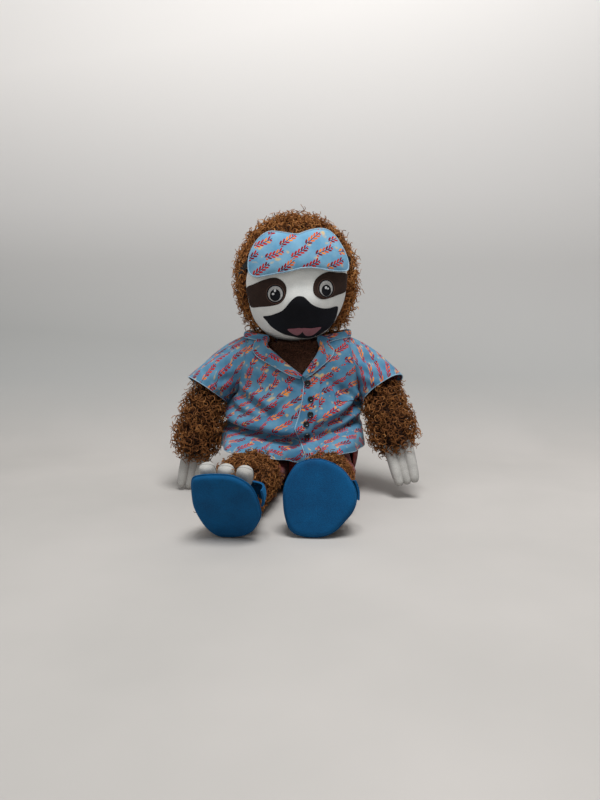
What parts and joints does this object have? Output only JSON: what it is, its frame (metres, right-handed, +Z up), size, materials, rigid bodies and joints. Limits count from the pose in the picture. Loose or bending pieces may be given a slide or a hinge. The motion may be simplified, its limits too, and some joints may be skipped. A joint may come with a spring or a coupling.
{
  "type": "plush sloth",
  "caption": "Seated plush sloth with curly fur, a raised sleep mask, a printed short-sleeved shirt, shorts and strap slippers; head, mask, arms, legs and slippers move.",
  "frame": {"origin": "on the floor, in the flat bottom of the seat, under the middle of the torso", "axes": "+Z up; the sloth faces -Y; its own left is +X"},
  "size_m": [0.3342, 0.3564, 0.3734],
  "materials": {
    "fur": "long curly brown pile",
    "chest_pile": "short dark brown pile",
    "white_pile": "short off-white velour",
    "patch": "short dark brown velour",
    "black": "black velour and embroidery",
    "tongue": "pink felt",
    "shirt": "light blue printed cotton",
    "shorts": "plain dark red cotton",
    "slipper": "blue velour",
    "claw": "light grey velour",
    "elastic": "black elastic webbing",
    "button": "black satin plastic",
    "filling": "loose white polyester fibre",
    "pellets": "loose plastic pellets in a bag"
  },
  "bodies": {
    "torso": {"torso_skin": "chest_pile", "torso_stuffing": "filling", "pellet_bag": "pellets", "shirt_back": "shirt", "shirt_front_left": "shirt", "shirt_front_right": "shirt", "collar": "shirt", "placket": "shirt", "pocket": "shirt", "shorts_seat": "shorts", "button_1": "button", "button_2": "button", "button_3": "button", "button_4": "button", "button_5": "button"},
    "neck": {"neck_core": "fur"},
    "head": {"head_fur": "fur", "head_stuffing": "filling", "face_panel": "white_pile", "eye_patch_left": "patch", "eye_patch_right": "patch", "eye_left": "white_pile", "eye_right": "white_pile", "pupil_left": "black", "pupil_right": "black", "muzzle": "black", "tongue": "tongue"},
    "mask": {"mask_front": "shirt", "mask_padding": "filling", "mask_strap": "elastic"},
    "arm_left": {"arm_left_fur": "fur", "arm_left_stuffing": "filling", "sleeve_left": "shirt", "hand_claw_left_1": "claw", "hand_claw_left_2": "claw", "hand_claw_left_3": "claw"},
    "leg_left": {"leg_left_fur": "fur", "leg_left_stuffing": "filling", "shorts_leg_left": "shorts", "foot_claw_left_1": "claw", "foot_claw_left_2": "claw", "foot_claw_left_3": "claw"},
    "slipper_left": {"slipper_sole_left": "slipper", "slipper_strap_left": "slipper"},
    "arm_right": {"arm_right_fur": "fur", "arm_right_stuffing": "filling", "sleeve_right": "shirt", "hand_claw_right_1": "claw", "hand_claw_right_2": "claw", "hand_claw_right_3": "claw"},
    "leg_right": {"leg_right_fur": "fur", "leg_right_stuffing": "filling", "shorts_leg_right": "shorts", "foot_claw_right_1": "claw", "foot_claw_right_2": "claw", "foot_claw_right_3": "claw"},
    "slipper_right": {"slipper_sole_right": "slipper", "slipper_strap_right": "slipper"}
  },
  "joints": [
    {"name": "head_turn", "type": "hinge", "parent": "torso", "child": "neck", "pos_m": [0.003, 0, 0.208], "axis": [0, 0, 1], "range_deg": [-35, 35]},
    {"name": "head_nod", "type": "hinge", "parent": "neck", "child": "head", "pos_m": [0.003, 0, 0.208], "axis": [0.9956, 0.0522, 0.0785], "range_deg": [-8, 10]},
    {"name": "mask_pull_down", "type": "hinge", "parent": "head", "child": "mask", "pos_m": [-0.00282, -0.01032, 0.28875], "axis": [0.9956, 0.0522, 0.0785], "range_deg": [0, 22]},
    {"name": "arm_left_swing", "type": "hinge", "parent": "torso", "child": "arm_left", "pos_m": [0.072, 0, 0.172], "axis": [-0.9781, 0, -0.2079], "range_deg": [-75, 60]},
    {"name": "arm_right_swing", "type": "hinge", "parent": "torso", "child": "arm_right", "pos_m": [-0.072, 0, 0.172], "axis": [-0.9781, 0, 0.2079], "range_deg": [-59, 76]},
    {"name": "leg_left_swing", "type": "hinge", "parent": "torso", "child": "leg_left", "pos_m": [0.042, -0.036, 0.0345], "axis": [0.9968, -0.0802, 0], "range_deg": [0, 90]},
    {"name": "leg_right_swing", "type": "hinge", "parent": "torso", "child": "leg_right", "pos_m": [-0.042, -0.036, 0.0345], "axis": [0.9888, -0.1495, 0], "range_deg": [0, 90]},
    {"name": "slipper_left_slide", "type": "slide", "parent": "leg_left", "child": "slipper_left", "axis": [-0.1567, 0.218, 0.9633], "range_m": [0, 0.06]},
    {"name": "slipper_right_slide", "type": "slide", "parent": "leg_right", "child": "slipper_right", "axis": [0.0083, -0.4116, 0.9113], "range_m": [0, 0.06]}
  ]
}
